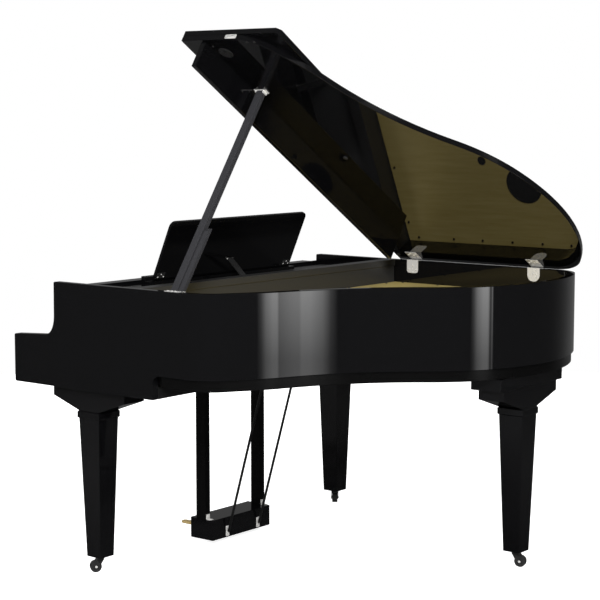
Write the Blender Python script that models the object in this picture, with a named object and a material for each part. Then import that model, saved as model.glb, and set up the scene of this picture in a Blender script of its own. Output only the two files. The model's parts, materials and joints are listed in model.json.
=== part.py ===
"""Digital grand piano: case, lid, keys, legs, lyre and inner parts as separate solids.

Working frame of the code: X=0 at the middle of the keyboard with the treble at +X,
Y=0 at the front of the arms with the tail towards +Y, Z=0 on the floor. The root empty
moves all of it so that the origin lies under the middle of the whole object's box.
"""
import bpy
import bmesh
from math import atan2, cos, hypot, pi, radians, sin
from mathutils import Vector

# Driving dimensions, in metres and degrees.
CASE_WIDTH = 1.36
SIDE_WALL = 0.024
RIM_TOP = 0.925
RIM_BOTTOM = 0.667
ARM_TOP = 0.747
ARM_RISE = 0.0085
ARM_BOTTOM = 0.592
ARM_NOSE = 0.004
CHEEK_FRONT = 0.1855
CHEEK_FILLET = (0.038, 0.060)
CHEEK_EDGE = 0.003
KEYBED_REAR = 0.61
KEYBED_FRONT = 0.012
KEYBED_THICK = 0.035
KEYBED_STEP = 0.022
GAP = 0.0003

# The rim's plan: a straight treble side, a round shoulder, a straight that takes up the rest
# of the width, a slow bend into the hollow waist, then three rounds of the tail down to the
# straight bass side.
BEND_START = 0.747
SHOULDER_RADIUS = 0.120
SHOULDER_HEADING = 148.0
FLANK_RADIUS = 0.500
FLANK_HEADING = 158.86
WAIST_RADIUS = 0.828
WAIST_HEADING = 127.45
TAIL_ARCS = ((0.431, 156.8), (0.595, 210.94), (0.130, 270.0))
SEAM_ANGLE = 25.2
ARC_STEP = 3.0

PLINTH_INSET = 0.008
PLINTH_THICK = 0.034
PLINTH_FRONT = 0.64
PLINTH_TONGUE = 0.024

SOUNDBOARD_TOP = 0.844
SOUNDBOARD_THICK = 0.009
SOUND_HOLE = (0.265, 0.3168, 0.064)

SHELF_TOP = 0.888
SHELF_THICK = 0.018
SHELF_FRONT = 0.212
BACK_BOARD_REAR = 0.549
BACK_BOARD_THICK = 0.020
BACK_RAIL_DEPTH = 0.044
BACK_RAIL_THICK = 0.022
BACK_REBATE = 0.004
NAMEBOARD_SETBACK = 0.004
NAMEBOARD_THICK = 0.016
KEY_SLIP_THICK = 0.020
KEY_SLIP_DROP = 0.016

LID_THICK = 0.018
LID_OVERHANG = 0.012
LID_GAP = 0.004
LID_PIVOT_OUT = 0.002
LID_FRONT = 0.5475
LID_ANGLE = 32.7
FLAP_DEPTH = 0.374
FLAP_CORNER = 0.014
LID_RAIL_AT = 0.634
LID_RAIL_DEPTH = 0.087
LID_RAIL_THICK = 0.018
LID_RAIL_ENDS = (-0.522, 0.683)
HINGE_WIDTH = 0.048
HINGE_THICK = 0.0015
HINGE_LEAF = 0.050
HINGE_DROP = 0.045
HINGE_SETBACK = 0.001
FRONT_HINGE = (0.0785, 0.010)
REAR_HINGE = (0.2788, 0.022)

PROP_AT = 0.657
PROP_ANGLE = 34.0
PROP_WIDTH = 0.0255
PROP_THICK = 0.018
PROP_PIVOT_DROP = 0.010
PROP_SPACE = 0.004
SHORT_PROP_LENGTH = 0.231
SHORT_PROP_WIDTH = 0.0175
SHORT_PROP_THICK = 0.0115
SHORT_PROP_SLANT = 0.014
BRACKET_THICK = 0.0015
BRACKET_DROP = 0.045
BRACKET_TOP = 0.018
BRACKET_REACH = 0.020
CUP_WIDTH = 0.048
CUP_LENGTH = 0.022
CUP_DEPTH = 0.009
CUP_BASE = 0.002
CUP_SIDE = 0.0025
CUP_PLAY = 0.001

KEY_FRONT = 0.050
KEY_SHOWN = 0.142
KEY_REAR = 0.400
KEY_TOP = 0.705
KEY_DEPTH = 0.018
KEYS_WIDTH = 1.2250
WHITE_KEYS = 52
KEY_SPACE = 0.0010
BLACK_WIDTH = 0.0110
BLACK_RISE = 0.0115
BLACK_SHOWN = 0.092
KEY_PIVOT_AT = 0.390
KEY_RAIL = 0.030
LEVER_THICK = 0.006
LEVER_CLEAR = 0.0009
BLACK_TAIL = 0.012
BLACK_SLOPE = 0.006
BLACK_TAPER = 0.0010
FRAME_OVERLAP = 0.004
FRAME_TAIL = 0.020
FIRST_NOTE = 5
BLACK_SHIFTS = {0: -0.0024, 1: 0.0024, 3: -0.0030, 4: 0.0, 5: 0.0030}
KEY_GROUPS = {"low_bass": (0, 16), "bass": (16, 14), "tenor": (30, 14), "high_treble": (44, 8)}
KEY_BLOCK_CLEAR = 0.0008
BUTTON_AT = 0.120
BUTTON_RADIUS = 0.005
BUTTON_CLEAR = 0.0004
BUTTON_TRAVEL = 0.0015
BUTTON_POCKET = 0.008

FALL_PIVOT = (0.199, 0.740)
FALL_LENGTH = 0.163
FALL_THICK = 0.013
FALL_LIP = 0.038
FALL_CLEAR = 0.006
FALL_LIP_CLEAR = 0.0015

DESK_WIDTH = 0.694
DESK_HEIGHT = 0.2097
DESK_THICK = 0.009
DESK_PIVOT = (0.2986, 0.9125)
DESK_LEAN = 23.7
DESK_CORNER = 0.020
LEDGE_WIDTH = 0.742
LEDGE_FRONT = 0.0306
LEDGE_REAR = 0.012
LEDGE_LIP = (0.015, 0.009)
LEDGE_NOSE = (0.0286, 0.012)
STRUT_UP = 0.056
STRUT_FOOT_AT = 0.404
STRUT_WIDTH = 0.024
STRUT_THICK = 0.006

LEG_AT = (0.044, 0.310)
TAIL_LEG_AT = (0.409, 0.0993)
LEG_TOP_HALF = 0.0435
LEG_BOTTOM_HALF = 0.030
LEG_NECK = 0.497
LEG_FOOT = 0.051
CAPITAL_SIDE = 0.560
CAPITAL_FRONT_HALF = (0.046, 0.155)
TAIL_BLOCK = ((0.217, 0.1608), (0.590, 0.0508))
TAIL_CAPITAL_HALF = (0.160, 0.0465)
NECK_RING = (0.024, 0.004)
RING_SLOPE = 0.002

WHEEL_RADIUS = 0.0185
WHEEL_WIDTH = 0.020
CASTER_TRAIL = 0.016
FORK_ARM = 0.003
FORK_PLAY = 0.0005
FORK_BRIDGE = 0.0015
FORK_DROP = 0.006
FORK_FRONT = 0.010
FORK_REAR = 0.007
CASTER_TURNS = {"treble": -125.0, "bass": 128.0, "tail": 15.0}

LYRE_HALF = 0.150
LYRE_BOX = ((0.277, 0.016), (0.377, 0.086))
LYRE_WALL = 0.009
POST_HALF = (0.012, 0.021)
POST_AT = (0.143, 0.328)
ROD_RADIUS = 0.0045
ROD_FEET = (0.075, -0.085)
ROD_TOP_AT = 0.545
ROD_FOOT_Z = 0.036
PEDAL_SPACING = 0.068
PEDAL_WIDTH = 0.024
PEDAL_THICK = 0.009
PEDAL_TIP = 0.164
PEDAL_TOP = 0.043
PEDAL_PIVOT = 0.338
PEDAL_SLOT = 0.008
PEDAL_HEEL = 0.018
PEDAL_TOE_END = 0.055
PEDAL_SHANK_FROM = 0.085
PEDAL_SHANK_SHARE = 0.6

SPEAKER_PROFILE = ((0.082, 0.0), (0.082, 0.006), (0.060, 0.030), (0.040, 0.036), (0.040, 0.062))
MAIN_BOARD_SIZE = (0.24, 0.14, 0.012)
POWER_SUPPLY_SIZE = (0.16, 0.10, 0.042)
INLET_SIZE = (0.12, 0.040, 0.028)
INLET_SOCKET = (0.03, 0.0045, 0.015)
SPEAKERS_AT = {"bass": (0.300, 0.4568), "treble": (0.980, 0.5868)}
MAIN_BOARD_AT = (0.660, 0.6468)
POWER_SUPPLY_AT = (0.200, 0.6668)
INLET_AT = (-0.42, 0.025)

HALF = CASE_WIDTH / 2
INNER = HALF - SIDE_WALL
LID_BOTTOM = RIM_TOP + LID_GAP
HINGE_X = -(HALF + LID_PIVOT_OUT)
KEYBED_TOP = ARM_BOTTOM + KEYBED_THICK
LEVER_TOP = KEY_TOP - KEY_DEPTH - LEVER_CLEAR
BLOCK_TOP = FALL_PIVOT[1] - FALL_THICK / 2 - FALL_CLEAR
BLOCK_SIDE = KEYS_WIDTH / 2 + KEY_BLOCK_CLEAR

COLOURS = {
    "gloss_black": ((0.008, 0.008, 0.009), 0.06, 0.0),
    "satin_black": ((0.012, 0.012, 0.012), 0.35, 0.0),
    "prop_grey": ((0.035, 0.035, 0.038), 0.30, 0.0),
    "gold_board": ((0.56, 0.40, 0.19), 0.45, 0.0),
    "key_white": ((0.86, 0.85, 0.80), 0.18, 0.0),
    "key_black": ((0.015, 0.015, 0.015), 0.30, 0.0),
    "nickel": ((0.72, 0.72, 0.72), 0.22, 1.0),
    "brass": ((0.80, 0.62, 0.25), 0.20, 1.0),
    "steel": ((0.45, 0.46, 0.47), 0.38, 1.0),
    "black_metal": ((0.03, 0.03, 0.03), 0.30, 0.5),
    "tyre_black": ((0.02, 0.02, 0.02), 0.50, 0.0),
    "circuit_green": ((0.03, 0.20, 0.09), 0.45, 0.0),
    "cone_black": ((0.03, 0.03, 0.03), 0.70, 0.0),
}


def clear_scene():
    for item in list(bpy.data.objects):
        bpy.data.objects.remove(item, do_unlink=True)


def material(name):
    found = bpy.data.materials.get(name)
    if found:
        return found
    colour, roughness, metallic = COLOURS[name]
    made = bpy.data.materials.new(name)
    made.use_nodes = True
    shader = made.node_tree.nodes["Principled BSDF"]
    shader.inputs["Base Color"].default_value = (*colour, 1.0)
    shader.inputs["Roughness"].default_value = roughness
    shader.inputs["Metallic"].default_value = metallic
    return made


class Carrier:
    """An empty on a joint's axis, and where that axis is before the carrier is turned."""

    def __init__(self, name, at, under=None, turn=(0, 0, 0)):
        self.at = Vector(at)
        self.empty = bpy.data.objects.new(name, None)
        bpy.context.collection.objects.link(self.empty)
        base = under.at if under else Vector((0, 0, 0))
        self.empty.location = self.at - base
        self.empty.rotation_euler = turn
        if under:
            self.empty.parent = under.empty


def solid(name, mesh, finish, carrier, smooth=None):
    """Make a named object from a bmesh, with its origin on its carrier."""
    bmesh.ops.remove_doubles(mesh, verts=mesh.verts, dist=0.00001)
    bmesh.ops.recalc_face_normals(mesh, faces=mesh.faces)
    bmesh.ops.translate(mesh, verts=mesh.verts, vec=-carrier.at)
    data = bpy.data.meshes.new(name)
    mesh.to_mesh(data)
    mesh.free()
    if smooth:
        data.shade_smooth()
        data.set_sharp_from_angle(angle=radians(smooth))
    item = bpy.data.objects.new(name, data)
    item.parent = carrier.empty
    data.materials.append(material(finish))
    bpy.context.collection.objects.link(item)
    return item


def hidden_cutter(item):
    item.hide_render = True
    item.display_type = "WIRE"
    return item


def cut(item, cutter):
    step = item.modifiers.new("cut_" + cutter.name, "BOOLEAN")
    step.operation = "DIFFERENCE"
    step.object = hidden_cutter(cutter)


def join(item, other):
    step = item.modifiers.new("join_" + other.name, "BOOLEAN")
    step.operation = "UNION"
    step.object = hidden_cutter(other)


def loft(rings):
    """Skin rings of equal length, one after the other, and cap both ends."""
    mesh = bmesh.new()
    rows = [[mesh.verts.new(point) for point in ring] for ring in rings]
    for low, high in zip(rows[:-1], rows[1:]):
        for index, corner in enumerate(low):
            after = (index + 1) % len(low)
            mesh.faces.new((corner, low[after], high[after], high[index]))
    mesh.faces.new(rows[0][::-1])
    mesh.faces.new(rows[-1])
    return mesh


def box(low, high):
    (x0, y0, z0), (x1, y1, z1) = low, high
    corners = ((x0, y0), (x1, y0), (x1, y1), (x0, y1))
    return loft([[(x, y, z) for x, y in corners] for z in (z0, z1)])


def prism(outline, start, end, axis="z"):
    """Extrude an outline along an axis: its points are the other two axes in order."""
    def place(point, along):
        a, b = point
        return {"x": (along, a, b), "y": (a, along, b), "z": (a, b, along)}[axis]
    return loft([[place(point, along) for point in outline] for along in (start, end)])


def rod(start, end, radius, sides=12):
    start, end = Vector(start), Vector(end)
    turn = (end - start).to_track_quat("Z", "Y")
    rings = []
    for centre in (start, end):
        ring = [Vector((radius * cos(2 * pi * n / sides), radius * sin(2 * pi * n / sides), 0))
                for n in range(sides)]
        rings.append([centre + turn @ point for point in ring])
    return loft(rings)


def arc(centre, radius, start, end, step=15.0):
    """Points on a circle from one heading to another, in degrees."""
    count = max(2, round(abs(end - start) / step) + 1)
    turns = [radians(start + (end - start) * n / (count - 1)) for n in range(count)]
    return [(centre[0] + radius * cos(t), centre[1] + radius * sin(t)) for t in turns]


def rounds_width():
    """How far the rim's rounds carry it from treble to bass, without its straight."""
    rounds = ((SHOULDER_RADIUS, SHOULDER_HEADING), (FLANK_RADIUS, FLANK_HEADING),
              (WAIST_RADIUS, WAIST_HEADING), *TAIL_ARCS)
    heading, width = 90.0, 0.0
    for radius, to_heading in rounds:
        side = 1 if to_heading > heading else -1
        width += side * radius * (sin(radians(heading)) - sin(radians(to_heading)))
        heading = to_heading
    return width


def rim_path():
    """Stations along the rim's outer face: x, y and heading in degrees."""
    x, y, heading = HALF, BEND_START, 90.0
    straight = (rounds_width() - CASE_WIDTH) / cos(radians(SHOULDER_HEADING))
    stations = [(x, y, heading)]

    def bend(radius, to_heading, stops=()):
        nonlocal x, y, heading
        side = 1 if to_heading > heading else -1
        count = max(2, round(abs(to_heading - heading) / ARC_STEP))
        turns = [heading + (to_heading - heading) * n / count for n in range(1, count + 1)]
        for stop in stops:
            nearest = min(range(len(turns)), key=lambda n: abs(turns[n] - stop))
            turns[nearest] = stop
        x0, y0, h0 = x, y, radians(heading)
        for turn in turns:
            now = radians(turn)
            x = x0 + side * radius * (sin(now) - sin(h0))
            y = y0 + side * radius * (cos(h0) - cos(now))
            stations.append((x, y, turn))
        heading = to_heading

    bend(SHOULDER_RADIUS, SHOULDER_HEADING, (90.0 + SEAM_ANGLE,))
    x += straight * cos(radians(heading))
    y += straight * sin(radians(heading))
    stations.append((x, y, heading))
    bend(FLANK_RADIUS, FLANK_HEADING)
    bend(WAIST_RADIUS, WAIST_HEADING)
    for radius, to_heading in TAIL_ARCS:
        bend(radius, to_heading)
    return stations


def offset(station, outwards):
    x, y, heading = station
    normal = radians(heading - 90.0)
    return (x + outwards * cos(normal), y + outwards * sin(normal))


PATH = rim_path()
TAIL_Y = max(offset(station, LID_OVERHANG)[1] for station in PATH)
SEAM_INDEX = min(range(len(PATH)), key=lambda n: abs(PATH[n][2] - 90.0 - SEAM_ANGLE))


def tail_place(place):
    """A place given as distances from the bass side and from the lid's tail end: x and y."""
    return place[0] - HALF, TAIL_Y - place[1]


def board_outline(inset, front):
    """The rim's plan drawn in by an inset, closed by a straight front edge."""
    curve = [offset(station, -inset) for station in PATH]
    side = HALF - inset
    return [(side, front)] + curve + [(-side, front)]


def wall(stations):
    """A wall along stations of (outer point, inner point, bottom, top)."""
    rings = [[(*outer, low), (*outer, high), (*inner, high), (*inner, low)]
             for outer, inner, low, high in stations]
    return loft(rings)


def side_profile():
    """Stations of y, bottom and top along a straight side, with near-upright steps."""
    slope = 0.001
    reach, rise = CHEEK_FILLET
    start, low = CHEEK_FRONT - reach - slope, ARM_TOP + ARM_RISE
    turns = [radians(15 * n) for n in range(7)]
    fillet = [(start + reach * sin(turn), low + rise * (1 - cos(turn))) for turn in turns]
    foot = KEYBED_STEP
    step_up = arc((KEYBED_REAR + slope + foot, RIM_BOTTOM - foot), foot, 180, 90, 22.5)
    profile = [(0.0, ARM_BOTTOM + ARM_NOSE, ARM_TOP - ARM_NOSE), (ARM_NOSE, ARM_BOTTOM, ARM_TOP)]
    profile += [(y, ARM_BOTTOM, z) for y, z in fillet]
    profile += [(CHEEK_FRONT, ARM_BOTTOM, RIM_TOP - CHEEK_EDGE)]
    profile += [(CHEEK_FRONT + CHEEK_EDGE, ARM_BOTTOM, RIM_TOP)]
    profile += [(KEYBED_REAR, ARM_BOTTOM, RIM_TOP)]
    profile += [(y, z, RIM_TOP) for y, z in step_up]
    return profile


def make_sides(root):
    for name, sign in (("side_treble", 1), ("side_bass", -1)):
        stations = [((sign * HALF, y), (sign * INNER, y), low, high)
                    for y, low, high in side_profile()]
        if sign > 0:
            bend = [PATH[0]] + PATH[1:SEAM_INDEX + 1]
        else:
            bend = [(-HALF, BEND_START, 270.0)]
        for station in bend:
            stations.append((offset(station, 0), offset(station, -SIDE_WALL), RIM_BOTTOM, RIM_TOP))
        solid(name, wall(stations), "gloss_black", root)


def make_rim(root):
    seam = PATH[SEAM_INDEX]
    along = radians(seam[2])
    first = (seam[0] + GAP * cos(along), seam[1] + GAP * sin(along), seam[2])
    stations = [first] + PATH[SEAM_INDEX + 1:] + [(-HALF, BEND_START + GAP, 270.0)]
    rings = [(offset(station, 0), offset(station, -SIDE_WALL), RIM_BOTTOM, RIM_TOP)
             for station in stations]
    solid("rim", wall(rings), "gloss_black", root)


def make_case(root):
    solid("keybed", box((-INNER + GAP, KEYBED_FRONT, ARM_BOTTOM),
                        (INNER - GAP, KEYBED_REAR, KEYBED_TOP)), "satin_black", root)
    plinth_top = RIM_BOTTOM - GAP
    tongue, tongue_front = INNER - GAP, PLINTH_FRONT - PLINTH_TONGUE
    plinth = board_outline(PLINTH_INSET, PLINTH_FRONT)
    plinth += [(-tongue, PLINTH_FRONT), (-tongue, tongue_front),
               (tongue, tongue_front), (tongue, PLINTH_FRONT)]
    solid("bottom_board", prism(plinth, plinth_top - PLINTH_THICK, plinth_top), "satin_black", root)
    board = board_outline(SIDE_WALL + GAP, BACK_BOARD_REAR + GAP)
    top = SOUNDBOARD_TOP
    panel = solid("soundboard_panel", prism(board, top - SOUNDBOARD_THICK, top), "gold_board", root)
    x, y = tail_place(SOUND_HOLE)
    radius = SOUND_HOLE[2]
    hole = solid("sound_hole_cutter", rod((x, y, top - 0.05), (x, y, top + 0.05), radius, 24),
                 "satin_black", root)
    cut(panel, hole)
    side = INNER - GAP
    solid("shelf", box((-side, SHELF_FRONT, SHELF_TOP - SHELF_THICK),
                       (side, BACK_BOARD_REAR - BACK_BOARD_THICK - GAP, SHELF_TOP)),
          "gloss_black", root)
    rear = BACK_BOARD_REAR
    front = rear - BACK_BOARD_THICK
    rail_low = RIM_TOP - BACK_RAIL_THICK
    face = rear - BACK_REBATE
    outline = [(front, KEYBED_TOP + GAP), (face, KEYBED_TOP + GAP), (face, rail_low),
               (rear, rail_low), (rear, RIM_TOP), (rear - BACK_RAIL_DEPTH, RIM_TOP),
               (rear - BACK_RAIL_DEPTH, rail_low), (front, rail_low)]
    solid("back_board", prism(outline, -side, side, "x"), "gloss_black", root)
    nameboard_front = SHELF_FRONT + NAMEBOARD_SETBACK
    nameboard_low = KEY_TOP + BLACK_RISE + NAMEBOARD_SETBACK
    solid("nameboard", box((-side, nameboard_front, nameboard_low),
                           (side, nameboard_front + NAMEBOARD_THICK,
                            SHELF_TOP - SHELF_THICK - GAP)), "gloss_black", root)
    slip_rear = KEYBED_FRONT + KEY_SLIP_THICK
    solid("key_slip", box((-side, KEYBED_FRONT, KEYBED_TOP + GAP),
                          (side, slip_rear, KEY_TOP - KEY_SLIP_DROP)), "gloss_black", root)
    for name, sign in (("key_block_bass", -1), ("key_block_treble", 1)):
        ends = sorted((sign * BLOCK_SIDE, sign * side))
        low = (ends[0], slip_rear + GAP, KEYBED_TOP + GAP)
        high = (ends[1], nameboard_front - GAP, BLOCK_TOP)
        solid(name, box(low, high), "gloss_black", root)
    (x0, y0), (x1, y1) = [tail_place(corner) for corner in TAIL_BLOCK]
    low = plinth_top - PLINTH_THICK - GAP
    solid("tail_leg_block", box((x0, y0, ARM_BOTTOM), (x1, y1, low)), "gloss_black", root)


def make_fallboard(root):
    """The board over the keys, with a lip that goes down between the key blocks."""
    y, z = FALL_PIVOT
    carrier = Carrier("fallboard_axis", (0, y, z), root)
    half = FALL_THICK / 2
    top = z + FALL_LENGTH
    side = INNER - 2 * GAP
    board = solid("fallboard", box((-side, y - half, z - half), (side, y + half, top)),
                  "gloss_black", carrier)
    side = BLOCK_SIDE - FALL_LIP_CLEAR
    lip = box((-side, y - half - FALL_LIP, top - FALL_THICK), (side, y, top))
    join(board, solid("fallboard_lip", lip, "gloss_black", carrier))


def black_centre(left, pitch, white):
    """Where the black key right of a white key stands, or None. White key 0 is an A."""
    note = (FIRST_NOTE + white) % 7
    if note not in BLACK_SHIFTS or white >= WHITE_KEYS - 1:
        return None
    return left + (white + 1) * pitch + BLACK_SHIFTS[note]


def white_comb(left, pitch, first, count):
    """White keys of one group as one comb, cut clear of the black keys between them."""
    rail = KEY_REAR - KEY_RAIL
    notch_front = KEY_FRONT + KEY_SHOWN - BLACK_SHOWN
    clear = BLACK_WIDTH / 2 + KEY_SPACE
    outline = []
    for white in range(first, first + count):
        x0 = left + white * pitch + KEY_SPACE / 2
        x1 = left + (white + 1) * pitch - KEY_SPACE / 2
        before = black_centre(left, pitch, white - 1) if white else None
        after = black_centre(left, pitch, white)
        if before is None:
            outline += [(x0, rail)]
        else:
            outline += [(before + clear, rail), (before + clear, notch_front), (x0, notch_front)]
        outline += [(x0, KEY_FRONT), (x1, KEY_FRONT)]
        if after is None:
            outline += [(x1, rail)]
        else:
            outline += [(x1, notch_front), (after - clear, notch_front), (after - clear, rail)]
    outline += [(outline[-1][0], KEY_REAR), (outline[0][0], KEY_REAR)]
    return prism(outline, KEY_TOP - KEY_DEPTH, KEY_TOP)


def black_levers(centres):
    """The thin levers under the black keys of one group, joined by their rear rail."""
    front = KEY_FRONT + KEY_SHOWN - BLACK_SHOWN + KEY_SPACE
    half = BLACK_WIDTH / 2
    outline = []
    for x in centres:
        outline += [(x - half, KEY_REAR - KEY_RAIL), (x - half, front)]
        outline += [(x + half, front), (x + half, KEY_REAR - KEY_RAIL)]
    outline += [(centres[-1] + half, KEY_REAR), (centres[0] - half, KEY_REAR)]
    return prism(outline, LEVER_TOP - LEVER_THICK, LEVER_TOP)


def black_block(x):
    """One black key above its lever: it tapers up and slopes at the front."""
    front = KEY_FRONT + KEY_SHOWN - BLACK_SHOWN + KEY_SPACE + GAP
    rear = KEY_FRONT + KEY_SHOWN + BLACK_TAIL
    side = BLACK_WIDTH / 2
    rings = []
    for z, half, slope in ((LEVER_TOP - 0.001, side - GAP, 0.0),
                           (KEY_TOP + 0.001, side - GAP, 0.0),
                           (KEY_TOP + BLACK_RISE, side - BLACK_TAPER, BLACK_SLOPE)):
        rings.append([(x - half, front + slope, z), (x + half, front + slope, z),
                      (x + half, rear, z), (x - half, rear, z)])
    return loft(rings)


def merged(meshes):
    whole = bmesh.new()
    for mesh in meshes:
        data = bpy.data.meshes.new("merge")
        mesh.to_mesh(data)
        mesh.free()
        whole.from_mesh(data)
        bpy.data.meshes.remove(data)
    return whole


def make_keys(root):
    pitch = KEYS_WIDTH / WHITE_KEYS
    left = -KEYS_WIDTH / 2
    pivot = (0, KEY_PIVOT_AT, LEVER_TOP + KEY_SPACE / 2)
    side = KEYS_WIDTH / 2
    frame_low = (-side, KEY_PIVOT_AT - FRAME_OVERLAP, KEYBED_TOP + GAP)
    frame_high = (side, KEY_REAR + FRAME_TAIL, LEVER_TOP - LEVER_THICK - GAP)
    solid("key_frame", box(frame_low, frame_high), "steel", root)
    for name, (first, count) in KEY_GROUPS.items():
        carrier = Carrier("white_keys_axis_" + name, pivot, root)
        solid("white_keys_" + name, white_comb(left, pitch, first, count), "key_white", carrier)
        carrier = Carrier("black_keys_axis_" + name, pivot, root)
        found = [black_centre(left, pitch, white) for white in range(first, first + count)]
        centres = [x for x in found if x is not None]
        levers = solid("black_keys_" + name, black_levers(centres), "key_black", carrier)
        blocks = merged([black_block(x) for x in centres])
        join(levers, solid("black_blocks_" + name, blocks, "key_black", carrier))


def make_power_button(root):
    """A round push button in a pocket of the treble key block."""
    x, y = (BLOCK_SIDE + INNER) / 2, BUTTON_AT
    block = bpy.data.objects["key_block_treble"]
    floor = BLOCK_TOP - BUTTON_POCKET
    pocket = rod((x, y, floor), (x, y, BLOCK_TOP + 0.01), BUTTON_RADIUS + BUTTON_CLEAR, 20)
    cut(block, solid("button_pocket", pocket, "satin_black", root))
    carrier = Carrier("power_button_axis", (x, y, BLOCK_TOP), root)
    low, high = floor + BUTTON_TRAVEL + GAP, BLOCK_TOP + BUTTON_TRAVEL
    solid("power_button", rod((x, y, low), (x, y, high), BUTTON_RADIUS, 20), "nickel", carrier)


def make_desk(root):
    y, z = DESK_PIVOT
    half = DESK_WIDTH / 2
    low, seat = SHELF_TOP + GAP, z - DESK_THICK / 2 - GAP
    lip, lip_height = LEDGE_LIP
    nose, nose_height = LEDGE_NOSE
    ledge = [(y - LEDGE_FRONT, low), (y + LEDGE_REAR, low), (y + LEDGE_REAR, seat),
             (y - lip + 0.004, seat), (y - lip, z + lip_height), (y - nose, z + nose_height),
             (y - LEDGE_FRONT, z + nose_height - 0.002)]
    solid("desk_ledge", prism(ledge, -LEDGE_WIDTH / 2, LEDGE_WIDTH / 2, "x"), "gloss_black", root)
    lean = radians(DESK_LEAN)
    carrier = Carrier("desk_axis", (0, y, z), root, (-lean, 0, 0))
    top = z + DESK_HEIGHT
    corners = arc((half - DESK_CORNER, top - DESK_CORNER), DESK_CORNER, 0, 90, 18)
    outline = [(-half, z), (half, z)] + corners + [(-x, height) for x, height in corners[::-1]]
    panel = prism(outline, y - DESK_THICK / 2, y + DESK_THICK / 2, "y")
    desk = solid("music_desk", panel, "gloss_black", carrier)
    barrel = rod((-half + GAP, y, z), (half - GAP, y, z), DESK_THICK / 2 - 0.0001, 16)
    join(desk, solid("desk_round_foot", barrel, "gloss_black", carrier))
    away, up = DESK_THICK / 2 + STRUT_THICK / 2 + GAP, STRUT_UP
    pivot_y = y + away * cos(lean) + up * sin(lean)
    pivot_z = z - away * sin(lean) + up * cos(lean)
    foot_z = SHELF_TOP + GAP + STRUT_THICK / 2
    swing = atan2(STRUT_FOOT_AT - pivot_y, pivot_z - foot_z)
    length = hypot(STRUT_FOOT_AT - pivot_y, pivot_z - foot_z)
    strut_axis = Carrier("desk_strut_axis", (0, y + away, z + up), carrier, (swing + lean, 0, 0))
    centre_y, centre_z = y + away, z + up
    reach = STRUT_THICK / 2
    outline = arc((centre_y, centre_z), reach, 0, 180, 30)
    outline += arc((centre_y, centre_z - length), reach, 180, 360, 30)
    solid("desk_strut", prism(outline, -STRUT_WIDTH / 2, STRUT_WIDTH / 2, "x"), "black_metal", strut_axis)


def make_lid(root):
    lean = radians(LID_ANGLE)
    top = LID_BOTTOM + LID_THICK
    lid = Carrier("lid_axis", (HINGE_X, 0, LID_BOTTOM), root, (0, -lean, 0))
    under = LID_BOTTOM - GAP
    solid("lid_main", prism(board_outline(-LID_OVERHANG, LID_FRONT + GAP), LID_BOTTOM, top),
          "gloss_black", lid)
    flap_axis = Carrier("flap_axis", (0, LID_FRONT, top + GAP / 2), lid, (pi, 0, 0))
    side = HALF + LID_OVERHANG
    front = LID_FRONT - FLAP_DEPTH
    flap = [(-side, front), (side - FLAP_CORNER, front), (side, front + FLAP_CORNER),
            (side, LID_FRONT - GAP), (-side, LID_FRONT - GAP)]
    solid("lid_flap", prism(flap, LID_BOTTOM, top), "gloss_black", flap_axis)
    rail_low = (LID_RAIL_ENDS[0], LID_RAIL_AT - LID_RAIL_THICK / 2, under - LID_RAIL_DEPTH)
    rail_high = (LID_RAIL_ENDS[1], LID_RAIL_AT + LID_RAIL_THICK / 2, under)
    solid("lid_rail", box(rail_low, rail_high), "gloss_black", lid)
    make_lid_hinge(root, lid, "front", LID_FRONT + FRONT_HINGE[0], FRONT_HINGE[1])
    make_lid_hinge(root, lid, "rear", TAIL_Y - REAR_HINGE[0], REAR_HINGE[1])
    x, y = HINGE_X + prop_reach()[1], PROP_AT + PROP_WIDTH / 2
    inner = PROP_WIDTH / 2 + CUP_PLAY
    outer = inner + CUP_SIDE
    end = CUP_WIDTH / 2
    half_cup = [(inner, under - CUP_BASE), (inner, under - CUP_DEPTH), (outer, under - CUP_DEPTH),
                (outer, under - CUP_BASE), (end, under - CUP_BASE), (end, under)]
    outline = [(y + across, height) for across, height in half_cup]
    outline += [(y - across, height) for across, height in half_cup[::-1]]
    cup = prism(outline, x - CUP_LENGTH / 2, x + CUP_LENGTH / 2, "x")
    solid("prop_cup", cup, "nickel", lid)


def make_lid_hinge(root, lid, name, y, corner):
    """A leaf bent over the rim, its drop with round corners, and a flat leaf on the lid."""
    near = -INNER + GAP
    low, high = RIM_TOP - HINGE_DROP, RIM_TOP + GAP
    start, end = y - HINGE_WIDTH / 2, y + HINGE_WIDTH / 2
    corner = min(corner, HINGE_WIDTH / 2 - HINGE_SETBACK)
    drop = arc((start + corner, low + corner), corner, 180, 270, 22.5)
    drop += arc((end - corner, low + corner), corner, 270, 360, 22.5)
    top = high + HINGE_THICK
    leaf = solid("lid_hinge_" + name + "_rim_leaf",
                 prism(drop + [(end, top), (start, top)], near, near + HINGE_THICK, "x"),
                 "nickel", root)
    cover = box((-HALF + HINGE_SETBACK, start, high), (near + HINGE_THICK, end, top))
    join(leaf, solid("lid_hinge_" + name + "_bend", cover, "nickel", root))
    leaf_top = LID_BOTTOM - GAP
    leaf_low = (HINGE_X + LID_PIVOT_OUT + HINGE_SETBACK, start, leaf_top - HINGE_THICK)
    leaf_high = (HINGE_X + HINGE_LEAF, end, leaf_top)
    solid("lid_hinge_" + name + "_lid_leaf", box(leaf_low, leaf_high), "nickel", lid)


def prop_pivot():
    """The props' axis, just inside the treble side: x and z."""
    return INNER - 2 * GAP - BRACKET_THICK - PROP_THICK / 2, RIM_TOP - PROP_PIVOT_DROP


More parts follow.
